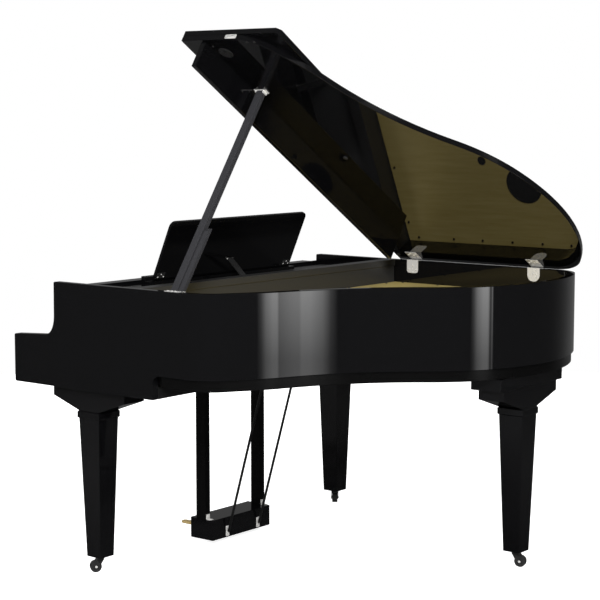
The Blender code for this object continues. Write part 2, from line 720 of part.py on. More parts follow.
def prop_reach():
    """How far the prop's line runs to the lid, and how far from the lid's axis it lands."""
    x, z = prop_pivot()
    lean, prop = radians(LID_ANGLE), radians(PROP_ANGLE)
    below = (x - HINGE_X) * sin(lean) - (z - LID_BOTTOM) * cos(lean)
    away = (x - HINGE_X) * cos(lean) + (z - LID_BOTTOM) * sin(lean)
    length = below / cos(prop - lean)
    return length, away - length * sin(prop - lean)


def make_props(root):
    x, z = prop_pivot()
    near, far = PROP_AT, PROP_AT + PROP_WIDTH
    short_near = far + PROP_SPACE
    short_far = short_near + SHORT_PROP_WIDTH
    slant = PROP_THICK / 2 * sin(radians(abs(PROP_ANGLE - LID_ANGLE)))
    length = prop_reach()[0] - 2 * GAP - CUP_BASE - slant
    make_prop_bracket(root, x, short_far)
    carrier = Carrier("prop_axis", (x, near, z), root, (0, -radians(PROP_ANGLE), 0))
    half = PROP_THICK / 2
    outline = arc((x, z), half, 180, 360, 22.5) + [(x + half, z + length), (x - half, z + length)]
    solid("prop_long", prism(outline, near, far, "y"), "prop_grey", carrier)
    short_axis = Carrier("short_prop_axis", (x, short_near, z), carrier)
    half = SHORT_PROP_THICK / 2
    tip = z + SHORT_PROP_LENGTH
    outline = arc((x, z), half, 180, 360, 22.5)
    outline += [(x + half, tip - SHORT_PROP_SLANT), (x - half / 2, tip), (x - half, tip)]
    prop = solid("prop_short", prism(outline, short_near, short_far, "y"), "prop_grey", short_axis)
    collar = rod((x, far + GAP, z), (x, short_near + GAP, z), half - GAP, 16)
    join(prop, solid("short_prop_collar", collar, "prop_grey", short_axis))


def make_prop_bracket(root, x, short_far):
    """A plate over the rim and down inside it, with an ear at each end of the props' axis."""
    wall = INNER - GAP
    top = RIM_TOP + GAP + BRACKET_THICK
    low = RIM_TOP - BRACKET_DROP
    start, end = PROP_AT - GAP - BRACKET_THICK, short_far + GAP + BRACKET_THICK
    section = [(wall - BRACKET_THICK, low), (wall, low), (wall, RIM_TOP + GAP),
               (wall + BRACKET_TOP, RIM_TOP + GAP), (wall + BRACKET_TOP, top),
               (wall - BRACKET_THICK, top)]
    bracket = solid("prop_base", prism(section, start, end, "y"), "nickel", root)
    for name, near, far in (("near", start, PROP_AT - GAP), ("far", short_far + GAP, end)):
        ear = box((x - BRACKET_REACH / 2, near, low + GAP), (wall - GAP, far, RIM_TOP - GAP))
        join(bracket, solid("prop_ear_" + name, ear, "nickel", root))


def square_ring(x, y, z, half_x, half_y):
    return [(x - half_x, y - half_y, z), (x + half_x, y - half_y, z),
            (x + half_x, y + half_y, z), (x - half_x, y + half_y, z)]


def make_leg(root, name, at, capital):
    x, y = at
    wide, deep = capital
    ring, swell = NECK_RING
    top, proud = LEG_TOP_HALF, LEG_TOP_HALF + swell
    rings = [square_ring(x, y, LEG_FOOT, LEG_BOTTOM_HALF, LEG_BOTTOM_HALF),
             square_ring(x, y, LEG_NECK, top, top),
             square_ring(x, y, LEG_NECK + RING_SLOPE, proud, proud),
             square_ring(x, y, LEG_NECK + ring - RING_SLOPE, proud, proud),
             square_ring(x, y, LEG_NECK + ring, top, top),
             square_ring(x, y, CAPITAL_SIDE, wide, deep),
             square_ring(x, y, ARM_BOTTOM - GAP, wide, deep)]
    solid("leg_" + name, loft(rings), "gloss_black", root)
    make_caster(root, name, at)


def make_caster(root, name, at):
    x, y = at
    turn = (0, 0, radians(CASTER_TURNS[name]))
    top = LEG_FOOT - GAP
    sides = 24
    centre = WHEEL_RADIUS * cos(pi / sides)
    fork_axis = Carrier("caster_axis_" + name, (x, y, top), root, turn)
    inner = WHEEL_WIDTH / 2 + FORK_PLAY
    outer = inner + FORK_ARM
    bridge = centre + WHEEL_RADIUS + FORK_BRIDGE
    low = centre - FORK_DROP
    outline = [(x - outer, low), (x - inner, low), (x - inner, bridge), (x + inner, bridge),
               (x + inner, low), (x + outer, low), (x + outer, top), (x - outer, top)]
    fork = prism(outline, y - FORK_FRONT, y + CASTER_TRAIL + FORK_REAR, "y")
    solid("caster_fork_" + name, fork, "black_metal", fork_axis)
    wheel_y = y + CASTER_TRAIL
    wheel_axis = Carrier("wheel_axis_" + name, (x, wheel_y, centre), fork_axis)
    ring = [(wheel_y + WHEEL_RADIUS * cos(2 * pi * (n + 0.5) / sides),
             centre + WHEEL_RADIUS * sin(2 * pi * (n + 0.5) / sides)) for n in range(sides)]
    wheel = prism(ring, x - WHEEL_WIDTH / 2, x + WHEEL_WIDTH / 2, "x")
    solid("caster_wheel_" + name, wheel, "tyre_black", wheel_axis, smooth=40)


def make_legs(root):
    for name, sign in (("treble", 1), ("bass", -1)):
        make_leg(root, name, (sign * (INNER - LEG_AT[0]), LEG_AT[1]), CAPITAL_FRONT_HALF)
    make_leg(root, "tail", tail_place(TAIL_LEG_AT), TAIL_CAPITAL_HALF)


def make_lyre(root):
    (y0, z0), (y1, z1) = LYRE_BOX
    half = LYRE_HALF
    shell = solid("pedal_box", box((-half, y0, z0), (half, y1, z1)), "gloss_black", root)
    rib_front = PEDAL_PIVOT
    rib_top = PEDAL_TOP - PEDAL_THICK - GAP
    back = y1 - LYRE_WALL
    lintel = y0 + LYRE_WALL
    low = z0 - 0.01
    slot = PEDAL_TOP + PEDAL_SLOT
    hollow = [(y0 - 0.01, low), (rib_front, low), (rib_front, rib_top), (back, rib_top),
              (back, z1 - LYRE_WALL), (lintel, z1 - LYRE_WALL), (lintel, slot),
              (y0 - 0.01, slot)]
    inside = half - LYRE_WALL
    cut(shell, solid("pedal_box_hollow", prism(hollow, -inside, inside, "x"), "satin_black", root))
    for name, sign in (("treble", 1), ("bass", -1)):
        x, y = sign * POST_AT[0], POST_AT[1]
        low, high = z1 + GAP, ARM_BOTTOM - GAP
        solid("lyre_post_" + name, box((x - POST_HALF[0], y - POST_HALF[1], low),
                                       (x + POST_HALF[0], y + POST_HALF[1], high)), "gloss_black", root)
    tilt = atan2(ROD_TOP_AT - y1, ARM_BOTTOM - ROD_FOOT_Z)
    foot_y = y1 + ROD_RADIUS / cos(tilt) + GAP
    top_z = ARM_BOTTOM - GAP - ROD_RADIUS * sin(tilt)
    for name, x in zip(("treble", "bass"), ROD_FEET):
        solid("lyre_rod_" + name, rod((x, foot_y, ROD_FOOT_Z), (x, ROD_TOP_AT, top_z), ROD_RADIUS),
              "satin_black", root, smooth=40)
    for name, place in zip(("soft", "sostenuto", "damper"), (-1, 0, 1)):
        make_pedal(root, name, place * PEDAL_SPACING)


def make_pedal(root, name, x):
    """A flat pedal with a rounded, slightly wider toe and a narrower shank."""
    low = PEDAL_TOP - PEDAL_THICK
    carrier = Carrier("pedal_axis_" + name, (x, PEDAL_PIVOT, low), root)
    toe = PEDAL_WIDTH / 2
    shank = toe * PEDAL_SHANK_SHARE
    toe_end, shank_from = PEDAL_TIP + PEDAL_TOE_END, PEDAL_TIP + PEDAL_SHANK_FROM
    heel = PEDAL_PIVOT + PEDAL_HEEL
    outline = arc((x, PEDAL_TIP + toe), toe, 180, 360, 22.5)
    outline += [(x + toe, toe_end), (x + shank, shank_from), (x + shank, heel),
                (x - shank, heel), (x - shank, shank_from), (x - toe, toe_end)]
    solid("pedal_" + name, prism(outline, low, PEDAL_TOP), "brass", carrier)


def centred_box(at, size, low):
    x, y = at
    wide, deep, high = size
    return box((x - wide / 2, y - deep / 2, low), (x + wide / 2, y + deep / 2, low + high))


def make_inner_parts(root):
    floor = RIM_BOTTOM
    for name, place in SPEAKERS_AT.items():
        x, y = tail_place(place)
        rings = [[(x + radius * cos(2 * pi * n / 24), y + radius * sin(2 * pi * n / 24), floor + z)
                  for n in range(24)] for radius, z in SPEAKER_PROFILE]
        solid("speaker_" + name, loft(rings), "cone_black", root)
    board = centred_box(tail_place(MAIN_BOARD_AT), MAIN_BOARD_SIZE, floor)
    solid("main_board", board, "circuit_green", root)
    supply = centred_box(tail_place(POWER_SUPPLY_AT), POWER_SUPPLY_SIZE, floor)
    solid("power_supply", supply, "steel", root)
    low = ARM_BOTTOM - GAP - INLET_SIZE[2]
    at = (INLET_AT[0], KEYBED_REAR - INLET_AT[1])
    panel = solid("inlet_panel", centred_box(at, INLET_SIZE, low), "satin_black", root)
    along, radius, depth = INLET_SOCKET
    x, rear, z = at[0] + along, at[1] + INLET_SIZE[1] / 2, low + INLET_SIZE[2] / 2
    socket = rod((x, rear - depth, z), (x, rear + 0.01, z), radius, 16)
    cut(panel, solid("inlet_socket", socket, "satin_black", root))


def main():
    clear_scene()
    lean = radians(LID_ANGLE)
    beyond = LID_OVERHANG - LID_PIVOT_OUT
    box_left = HINGE_X - beyond * cos(lean) - (2 * LID_THICK + GAP) * sin(lean)
    shift = Vector((-(box_left + HALF) / 2, -TAIL_Y / 2, 0))
    root = Carrier("root", (0, 0, 0))
    root.empty.location = shift
    make_sides(root)
    make_rim(root)
    make_case(root)
    make_fallboard(root)
    make_keys(root)
    make_power_button(root)
    make_desk(root)
    make_lid(root)
    make_props(root)
    make_legs(root)
    make_lyre(root)
    make_inner_parts(root)


main()
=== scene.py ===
"""Looks of the digital grand piano: finishes, fine pieces, studio and camera."""
import json
from math import pi, radians

import bmesh
import bpy
from mathutils import Matrix, Vector

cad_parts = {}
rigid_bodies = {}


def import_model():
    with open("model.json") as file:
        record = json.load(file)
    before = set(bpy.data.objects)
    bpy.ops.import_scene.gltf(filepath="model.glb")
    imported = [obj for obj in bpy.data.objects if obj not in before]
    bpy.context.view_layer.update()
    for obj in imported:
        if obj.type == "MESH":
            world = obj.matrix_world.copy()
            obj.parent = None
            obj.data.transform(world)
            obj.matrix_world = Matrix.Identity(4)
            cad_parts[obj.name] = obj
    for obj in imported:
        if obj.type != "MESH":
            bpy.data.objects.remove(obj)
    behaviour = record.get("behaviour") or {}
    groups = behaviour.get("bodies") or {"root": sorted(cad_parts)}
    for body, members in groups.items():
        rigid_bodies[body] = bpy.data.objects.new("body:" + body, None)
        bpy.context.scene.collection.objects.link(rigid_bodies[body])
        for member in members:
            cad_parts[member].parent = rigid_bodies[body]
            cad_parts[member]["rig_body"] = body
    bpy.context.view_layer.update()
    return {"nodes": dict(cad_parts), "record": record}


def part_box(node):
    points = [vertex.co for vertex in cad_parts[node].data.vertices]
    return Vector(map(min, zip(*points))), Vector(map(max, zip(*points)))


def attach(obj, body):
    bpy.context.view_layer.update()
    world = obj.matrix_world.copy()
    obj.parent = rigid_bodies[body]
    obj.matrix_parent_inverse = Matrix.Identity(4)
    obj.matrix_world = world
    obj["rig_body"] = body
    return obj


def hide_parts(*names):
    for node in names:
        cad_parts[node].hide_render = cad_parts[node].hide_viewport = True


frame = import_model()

# The camera, in the case's own coordinates: x from the middle of the keyboard, y back from
# the arms' front, z up from the floor.
CAMERA_AT = (4.365, 4.133, 1.4595)
CAMERA_YAW = 128.72
CAMERA_PITCH = 6.326
CAMERA_LENS = 102.53
SENSOR = 36.0

# What the studio's surroundings give: a plain level for soft light, and a dimmer room with
# one tall bright panel, seen only in polished surfaces.
WORLD_LIGHT = 0.35
ROOM_STOPS = ((-180.0, 0.16), (-110.0, 0.16), (-100.0, 0.12), (-43.0, 0.085),
              (-35.0, 0.09), (70.0, 0.09), (104.0, 0.08), (150.0, 0.06), (160.0, 0.08), (180.0, 0.16))
PANEL_STOPS = ((76.5, 0.0), (79.5, 0.11), (83.0, 0.42), (88.0, 0.64), (92.2, 0.66),
               (93.6, 0.50), (94.5, 0.12), (96.0, 0.10), (96.7, 0.30), (97.4, 0.28), (97.9, 0.04), (98.6, 0.0))
PANEL_GLOSS = 8.4
PANEL_LOW = (-0.145, -0.100, 0.38)
PANEL_HIGH = (-0.060, -0.030, 0.05)
FLOOR_RADIUS = 4.2
FLOOR_GLOW = 0.86
FLOOR_COLOUR = 0.9
# In gloss the floor's colour is painted light and shade: a level by compass direction, brighter in front where the key
# light's shadow falls, times a painted shadow that darkens it near the piano's middle.
FLOOR_PAINTED_LIGHT_STOPS = ((-180.0, 0.08), (-150.0, 0.14), (-75.0, 0.16), (-55.0, 0.12), (60.0, 0.10),
                     (100.0, 0.05), (180.0, 0.08))
FLOOR_PAINTED_SHADE_NEAR = (0.5, 2.0, 0.35)

SIDE_LOW, SIDE_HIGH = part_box("side_treble")
CASE_SHIFT = Vector((SIDE_HIGH[0] - 0.68, SIDE_LOW[1], 0.0))
LID_AXIS = Vector((-0.682, 0.0, 0.929)) + CASE_SHIFT
LID_ANGLE = radians(32.7)
LID_TURN = (Matrix.Translation(LID_AXIS) @ Matrix.Rotation(-LID_ANGLE, 4, "Y")
            @ Matrix.Translation(-LID_AXIS))
SLOTS = {row["node"]: row["material_slot"] for row in frame["record"]["subparts"]}

CASE_HALF = 0.68
SIDE_WALL = 0.024
HINGE_THICK = 0.0015
HINGE_PLACES = {"front": 0.626, "rear": 1.1279}
DESK_LEAN = radians(23.7)
DESK_THICK = 0.009
DESK_FOOT_REAR = 0.012
DESK_FOOT_Z = 0.9125
STRUT_AWAY, STRUT_UP = 0.0078, 0.056
AXLE_LENGTH = 0.0295


def middle_of(node):
    low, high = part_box(node)
    return Vector([(a + b) / 2 for a, b in zip(low, high)])


LEG_PLACES = {place: middle_of("leg_" + place) for place in ("treble", "bass", "tail")}
# The shelf's lighter grey is painted sheen: it stands in for the shelf top's reflection at a grazing angle.
LOOKS = {"back_board": "grey_satin", "lyre_post_treble": "dull_lacquer", "lyre_post_bass": "dull_lacquer",
         "bottom_board": "dull_lacquer", "shelf": "shelf_painted_sheen"}

# How far each node's edges are rounded.
CASE_EDGE = 0.0015
EDGES = {
    "lid_main": 0.0015, "lid_flap": 0.0015, "lid_rail": 0.0015,
    "leg_treble": 0.001, "leg_bass": 0.001, "leg_tail": 0.001, "tail_leg_block": 0.0012,
    "bottom_board": 0.0012, "back_board": 0.001, "nameboard": 0.001, "shelf": 0.001,
    "key_slip": 0.0015, "key_block_treble": 0.002, "key_block_bass": 0.002, "key_frame": 0.0005,
    "keybed": 0.001, "fallboard": 0.0015, "music_desk": 0.002, "desk_ledge": 0.002,
    "desk_strut": 0.0008, "soundboard_panel": 0.0008, "power_button": 0.0008,
    "pedal_box": 0.001, "lyre_post_treble": 0.001, "lyre_post_bass": 0.001,
    "lyre_rod_treble": 0.0008, "lyre_rod_bass": 0.0008, "prop_long": 0.001,
    "prop_short": 0.001, "prop_base": 0.0005, "prop_cup": 0.0005, "inlet_panel": 0.001,
    "main_board": 0.0004, "power_supply": 0.001,
}
for place in ("treble", "bass", "tail"):
    EDGES["caster_fork_" + place] = 0.0006
    EDGES["caster_wheel_" + place] = 0.0012
for place in ("low_bass", "bass", "tenor", "high_treble"):
    EDGES["white_keys_" + place] = 0.0006
    EDGES["black_keys_" + place] = 0.0012
for place in ("soft", "sostenuto", "damper"):
    EDGES["pedal_" + place] = 0.0018
for place in ("front", "rear"):
    EDGES["lid_hinge_" + place + "_rim_leaf"] = 0.0004
    EDGES["lid_hinge_" + place + "_lid_leaf"] = 0.0004
for place in ("treble", "bass"):
    EDGES["speaker_" + place] = 0.0008


# Working on a piece.

def at(x, y, z):
    """A place given in the case's own coordinates."""
    return Vector((x, y, z)) + CASE_SHIFT


def choose(piece):
    """Selects one object alone and makes it the active one."""
    bpy.ops.object.select_all(action="DESELECT")
    piece.select_set(True)
    bpy.context.view_layer.objects.active = piece


def pick(piece, kind, test):
    """Opens a piece in edit mode with only the faces or edges that pass a test selected."""
    choose(piece)
    bpy.ops.object.mode_set(mode="EDIT")
    bpy.ops.mesh.select_mode(type=kind)
    bpy.ops.mesh.select_all(action="DESELECT")
    mesh = bmesh.from_edit_mesh(piece.data)
    chosen = [part for part in (mesh.faces if kind == "FACE" else mesh.edges) if test(part)]
    for part in chosen:
        part.select_set(True)
    bmesh.update_edit_mesh(piece.data)
    return len(chosen)


def leave_edit():
    bpy.ops.object.mode_set(mode="OBJECT")


def round_edges(piece, radius, keep=None, sharper=30.0, segments=3):
    """Rounds the edges that are sharper than an angle and pass a test."""
    def wanted(edge):
        if len(edge.link_faces) != 2 or edge.calc_face_angle() < radians(sharper):
            return False
        return keep is None or keep(edge)
    if pick(piece, "EDGE", wanted):
        bpy.ops.mesh.bevel(offset_type="OFFSET", offset=radius, segments=segments,
                           profile=0.5, affect="EDGES", clamp_overlap=True)
    leave_edit()


def smooth(piece, angle=35.0):
    """Smooth shading that keeps flat faces flat beside their rounded edges."""
    choose(piece)
    bpy.ops.object.shade_smooth_by_angle(angle=radians(angle))
    flat = piece.modifiers.new("flat_faces", "WEIGHTED_NORMAL")
    flat.mode = "FACE_AREA"
    flat.weight = 50
    flat.keep_sharp = True
    bpy.ops.object.modifier_apply(modifier=flat.name)


def finish(piece, body, slot, finishes, replaces=()):
    """Gives a piece its material, hangs it on the body it rides on, and hides the CAD nodes it replaces."""
    piece.data.materials.clear()
    piece.data.materials.append(finishes[slot])
    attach(piece, body)
    if replaces:
        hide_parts(*replaces)
    return piece


def fine_copy(node):
    """A copy of a CAD node with its doubles merged and its flat faces joined."""
    source = frame["nodes"][node]
    piece = bpy.data.objects.new(node + "_rounded", source.data.copy())
    bpy.context.collection.objects.link(piece)
    pick(piece, "FACE", lambda face: True)
    bpy.ops.mesh.remove_doubles(threshold=0.00002)
    bpy.ops.mesh.dissolve_limited(angle_limit=radians(0.4))
    leave_edit()
    return piece


# The finishes.

def new_material(name, colour, roughness, metallic=0.0):
    made = bpy.data.materials.new(name)
    made.use_nodes = True
    shader = made.node_tree.nodes["Principled BSDF"]
    shader.inputs["Base Color"].default_value = (*colour, 1.0)
    shader.inputs["Roughness"].default_value = roughness
    shader.inputs["Metallic"].default_value = metallic
    return made


def link_noise(made, scale, detail, stretch=(1, 1, 1)):
    """A noise texture on object coordinates, stretched along an axis."""
    nodes, links = made.node_tree.nodes, made.node_tree.links
    place = nodes.new("ShaderNodeTexCoord")
    mapping = nodes.new("ShaderNodeMapping")
    mapping.inputs["Scale"].default_value = stretch
    noise = nodes.new("ShaderNodeTexNoise")
    noise.inputs["Scale"].default_value = scale
    noise.inputs["Detail"].default_value = detail
    links.new(place.outputs["Object"], mapping.inputs["Vector"])
    links.new(mapping.outputs["Vector"], noise.inputs["Vector"])
    return noise


def vary_roughness(made, noise, low, high):
    nodes, links = made.node_tree.nodes, made.node_tree.links
    span = nodes.new("ShaderNodeMapRange")
    span.inputs["To Min"].default_value = low
    span.inputs["To Max"].default_value = high
    links.new(noise.outputs["Fac"], span.inputs["Value"])
    links.new(span.outputs["Result"], nodes["Principled BSDF"].inputs["Roughness"])


def vary_colour(made, noise, dark, light):
    nodes, links = made.node_tree.nodes, made.node_tree.links
    ramp = nodes.new("ShaderNodeValToRGB")
    ramp.color_ramp.elements[0].position = 0.3
    ramp.color_ramp.elements[1].position = 0.7
    ramp.color_ramp.elements[0].color = (*dark, 1.0)
    ramp.color_ramp.elements[1].color = (*light, 1.0)
    links.new(noise.outputs["Fac"], ramp.inputs["Fac"])
    links.new(ramp.outputs["Color"], nodes["Principled BSDF"].inputs["Base Color"])


def add_bump(made, noise, strength, distance):
    nodes, links = made.node_tree.nodes, made.node_tree.links
    bump = nodes.new("ShaderNodeBump")
    bump.inputs["Strength"].default_value = strength
    bump.inputs["Distance"].default_value = distance
    links.new(noise.outputs["Fac"], bump.inputs["Height"])
    links.new(bump.outputs["Normal"], nodes["Principled BSDF"].inputs["Normal"])


def black_lacquer():
    made = new_material("black_lacquer", (0.0016, 0.0016, 0.0018), 0.05)
    haze = link_noise(made, 7.0, 4.0)
    vary_roughness(made, haze, 0.02, 0.04)
    return made


def grey_satin(name, level):
    made = new_material(name, (level, level, level), 0.35)
    grain = link_noise(made, 500.0, 2.0)
    vary_roughness(made, grain, 0.3, 0.42)
    return made


def dull_lacquer():
    made = new_material("dull_black_lacquer", (0.0015, 0.0015, 0.0015), 0.25)
    made.node_tree.nodes["Principled BSDF"].inputs["Specular IOR Level"].default_value = 0.12
    haze = link_noise(made, 12.0, 4.0)
    vary_roughness(made, haze, 0.2, 0.32)
    return made


def satin_paint():
    made = new_material("satin_paint", (0.004, 0.004, 0.004), 0.3)
    grain = link_noise(made, 600.0, 2.0)
    vary_roughness(made, grain, 0.24, 0.36)
    add_bump(made, grain, 0.15, 0.0002)
    return made


def prop_paint():
    made = new_material("prop_paint", (0.020, 0.020, 0.022), 0.25)
    grain = link_noise(made, 300.0, 3.0)
    vary_roughness(made, grain, 0.22, 0.3)
    return made


def golden_veneer():
    made = new_material("golden_veneer", (0.60, 0.48, 0.17), 0.42)
    made.node_tree.nodes["Principled BSDF"].inputs["Coat Weight"].default_value = 0.6
    made.node_tree.nodes["Principled BSDF"].inputs["Coat Roughness"].default_value = 0.12
    grain = link_noise(made, 22.0, 8.0, (6.0, 0.35, 6.0))
    vary_colour(made, grain, (0.55, 0.43, 0.14), (0.66, 0.53, 0.20))
    vary_roughness(made, grain, 0.36, 0.5)
    add_bump(made, grain, 0.12, 0.0003)
    return made


def plain_finish(name, colour, roughness, metallic, scale):
    made = new_material(name, colour, roughness, metallic)
    noise = link_noise(made, scale, 4.0)
    vary_roughness(made, noise, roughness * 0.8, roughness * 1.25)
    return made


def make_finishes():
    return {
        "gloss_black": black_lacquer(),
        "satin_black": satin_paint(),
        "grey_satin": grey_satin("grey_satin_paint", 0.020),
        # Painted sheen: a lighter grey than the back board, standing in for the shelf's reflection at a grazing angle.
        "shelf_painted_sheen": grey_satin("shelf_painted_sheen_grey", 0.035),
        "dull_lacquer": dull_lacquer(),
        "prop_grey": prop_paint(),
        "gold_board": golden_veneer(),
        "key_white": plain_finish("key_white_gloss", (0.82, 0.81, 0.76), 0.16, 0.0, 30.0),
        "key_black": plain_finish("key_black_satin", (0.012, 0.012, 0.012), 0.32, 0.0, 40.0),
        "nickel": plain_finish("bright_nickel", (0.66, 0.65, 0.63), 0.26, 0.5, 50.0),
        "brass": plain_finish("polished_brass", (0.78, 0.58, 0.25), 0.26, 0.7, 50.0),
        "black_metal": plain_finish("black_metal_paint", (0.018, 0.018, 0.018), 0.28, 0.3, 60.0),
        "steel": plain_finish("satin_steel", (0.30, 0.30, 0.31), 0.36, 0.7, 60.0),
        "tyre_black": plain_finish("wheel_rubber", (0.015, 0.015, 0.015), 0.45, 0.0, 80.0),
        "circuit_green": plain_finish("circuit_lacquer", (0.02, 0.16, 0.07), 0.4, 0.0, 90.0),
        "cone_black": plain_finish("speaker_cone", (0.03, 0.03, 0.03), 0.7, 0.0, 120.0),
    }


# Making new pieces.

def settle(piece, turn=None):
    """Moves a piece by a turn, and writes its place into its mesh."""
    if turn is not None:
        piece.matrix_world = turn @ piece.matrix_world
    choose(piece)
    bpy.ops.object.transform_apply(location=True, rotation=True, scale=True)
    return piece


def toward(place, direction):
    """Where a piece made upright at the origin goes, with its top facing a direction."""
    turn = Vector(direction).to_track_quat("Z", "Y").to_matrix().to_4x4()
    return Matrix.Translation(place) @ turn


def bar(name, place, direction, radius, length, edge, sides=24):
    """A round bar with rounded ends."""
    bpy.ops.object.select_all(action="DESELECT")
    bpy.ops.mesh.primitive_cylinder_add(vertices=sides, radius=radius, depth=length)
    piece = settle(bpy.context.object)
    piece.name = name
    round_edges(piece, edge, sharper=60.0, segments=2)
    return settle(piece, toward(place, direction))


def plate(name, low, high, edge):
    """A flat plate with rounded corners and edges."""
    bpy.ops.object.select_all(action="DESELECT")
    bpy.ops.mesh.primitive_cube_add(size=1.0, location=(low + high) / 2)
    piece = bpy.context.object
    piece.name = name
    piece.scale = high - low
    settle(piece)
    thin = min(range(3), key=lambda axis: high[axis] - low[axis])

    def corner(mesh_edge):
        a, b = (vert.co for vert in mesh_edge.verts)
        return abs(a[thin] - b[thin]) > 0.9 * (high[thin] - low[thin])
    round_edges(piece, edge, corner, segments=4)
    round_edges(piece, min(edge, (high[thin] - low[thin]) / 3), sharper=60.0, segments=2)
    return piece


def screw_head(radius):
    """A domed head with a round recess, upright at the origin."""
    bpy.ops.object.select_all(action="DESELECT")
    bpy.ops.mesh.primitive_cylinder_add(vertices=12, radius=radius, depth=radius * 0.8)
    piece = settle(bpy.context.object)
    piece.name = "screw_head"
    round_edges(piece, radius * 0.35, lambda edge: min(v.co.z for v in edge.verts) > 0, 60.0, 3)
    pick(piece, "FACE", lambda face: face.normal.z > 0.99)
    bpy.ops.mesh.inset(thickness=radius * 0.3)
    bpy.ops.mesh.extrude_region_move(TRANSFORM_OT_translate={"value": (0, 0, -radius * 0.3)})
    leave_edit()
    return piece


def copies(master, name, places, body, slot, finishes):
    """One copy of a piece, with its own mesh, at each place."""
    for number, place in enumerate(places):
        piece = bpy.data.objects.new("%s_%02d" % (name, number + 1), master.data.copy())
        bpy.context.collection.objects.link(piece)
        settle(piece, place)
        smooth(piece)
        finish(piece, body, slot, finishes)


def discard(piece):
    bpy.data.objects.remove(piece)


# The pieces.

def round_case(finishes):
    """The rim and the two sides: the seams between them stay sharp."""
    for node in ("rim", "side_treble", "side_bass"):
        piece = fine_copy(node)
        low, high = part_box(node)

        def level(edge):
            a, b = (vert.co for vert in edge.verts)
            return abs(a.z - b.z) < 0.001
        round_edges(piece, CASE_EDGE, level, segments=4)
        smooth(piece)
        finish(piece, frame["nodes"][node]["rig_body"], SLOTS[node], finishes, (node,))


def trim_fork(piece, place):
    """Cuts a caster fork's plates back to arms that slant from the stem to the axle."""
    stem, axle = LEG_PLACES[place], middle_of("caster_wheel_" + place)
    trail = (axle - stem) * Vector((1, 1, 0))
    trail.normalize()
    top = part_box("caster_fork_" + place)[1][2]
    cuts = ((-0.010, top - 0.007, 0.0085, 0.012, -1), (0.009, top - 0.002, 0.0235, 0.026, 1))
    for from_trail, from_z, to_trail, to_z, side in cuts:
        start = Vector((stem.x, stem.y, from_z)) + trail * from_trail
        end = Vector((stem.x, stem.y, to_z)) + trail * to_trail
        along = end - start
        across = Vector((0, 0, 1)).cross(trail)
        normal = along.cross(across).normalized()
        if normal.dot(trail) * side < 0:
            normal.negate()
        pick(piece, "FACE", lambda face: True)
        bpy.ops.mesh.bisect(plane_co=start, plane_no=normal, use_fill=True, clear_outer=True)
        leave_edit()


def round_nodes(finishes):
    for node, radius in EDGES.items():
        piece = fine_copy(node)
        if node.startswith("caster_fork_"):
            trim_fork(piece, node.replace("caster_fork_", ""))
        round_edges(piece, radius)
        smooth(piece)
        look = dict(finishes, **{SLOTS[node]: finishes[LOOKS.get(node, SLOTS[node])]})
        finish(piece, frame["nodes"][node]["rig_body"], SLOTS[node], look, (node,))


def add_hinge_screws(finishes):
    head = screw_head(0.0042)
    wall = -CASE_HALF + SIDE_WALL + HINGE_THICK + 0.0005
    for place, y in HINGE_PLACES.items():
        spots = ((-0.016, 0.893), (0.0, 0.907), (0.016, 0.893))
        places = [toward(at(wall, y + along, z), (1, 0, 0)) for along, z in spots]
        copies(head, "rim_leaf_screw_" + place, places, "case", "nickel", finishes)
        spots = ((-0.017, 0.030), (-0.0057, 0.039), (0.0057, 0.030), (0.017, 0.039))
        under = LID_AXIS.z - 0.0022
        places = [LID_TURN @ toward((LID_AXIS.x + out, at(0, y + along, 0).y, under), (0, 0, -1))
                  for along, out in spots]
        copies(head, "lid_leaf_screw_" + place, places, "lid", "nickel", finishes)
    discard(head)


def lid_edge_place():
    """How far out the lid's free edge lies, with the lid turned flat."""
    flat = LID_TURN.inverted()
    return max((flat @ vert.co).x for vert in frame["nodes"]["lid_main"].data.vertices)


def add_lid_fittings(finishes):
    """Under the lid: rubber bumpers, a small catch plate and a round plate near the edge."""
    def under(out, y, drop):
        return Vector((LID_AXIS.x + out, at(0, y, 0).y, LID_AXIS.z - drop))
    for number, (out, y) in enumerate(((0.030, 0.563), (0.70, 0.75))):
        piece = bar("lid_bumper_%d" % (number + 1), under(out, y, 0.0025), (0, 0, 1), 0.008, 0.005, 0.0012)
        settle(piece, LID_TURN)
        smooth(piece)
        finish(piece, "lid", "tyre_black", finishes)
    edge = lid_edge_place()
    catch = plate("lid_catch_plate", Vector((edge, at(0, 0.723, 0).y, LID_AXIS.z + 0.002)),
                  Vector((edge + 0.0015, at(0, 0.766, 0).y, LID_AXIS.z + 0.016)), 0.002)
    pick(catch, "FACE", lambda face: face.normal.x > 0.99)
    bpy.ops.mesh.inset(thickness=0.004)
    bpy.ops.mesh.extrude_region_move(TRANSFORM_OT_translate={"value": (0.001, 0, 0)})
    leave_edit()
    settle(catch, LID_TURN)
    smooth(catch)
    finish(catch, "lid", "nickel", finishes)
    disc = bar("lid_round_plate", under(1.305, 0.679, 0.001), (0, 0, 1), 0.024, 0.002, 0.0006, 32)
    pick(disc, "FACE", lambda face: face.normal.z < -0.99)
    bpy.ops.mesh.inset(thickness=0.016)
    bpy.ops.mesh.extrude_region_move(TRANSFORM_OT_translate={"value": (0, 0, 0.0012)})
    leave_edit()
    settle(disc, LID_TURN)
    smooth(disc)
    finish(disc, "lid", "black_metal", finishes)
    head = screw_head(0.0035)
    places = [LID_TURN @ toward(under(out, y, 0.001), (0, 0, -1))
              for out, y in ((1.340, 0.653), (1.356, 0.800), (1.356, 0.828))]
    copies(head, "lid_edge_screw", places, "lid", "black_metal", finishes)
    discard(head)


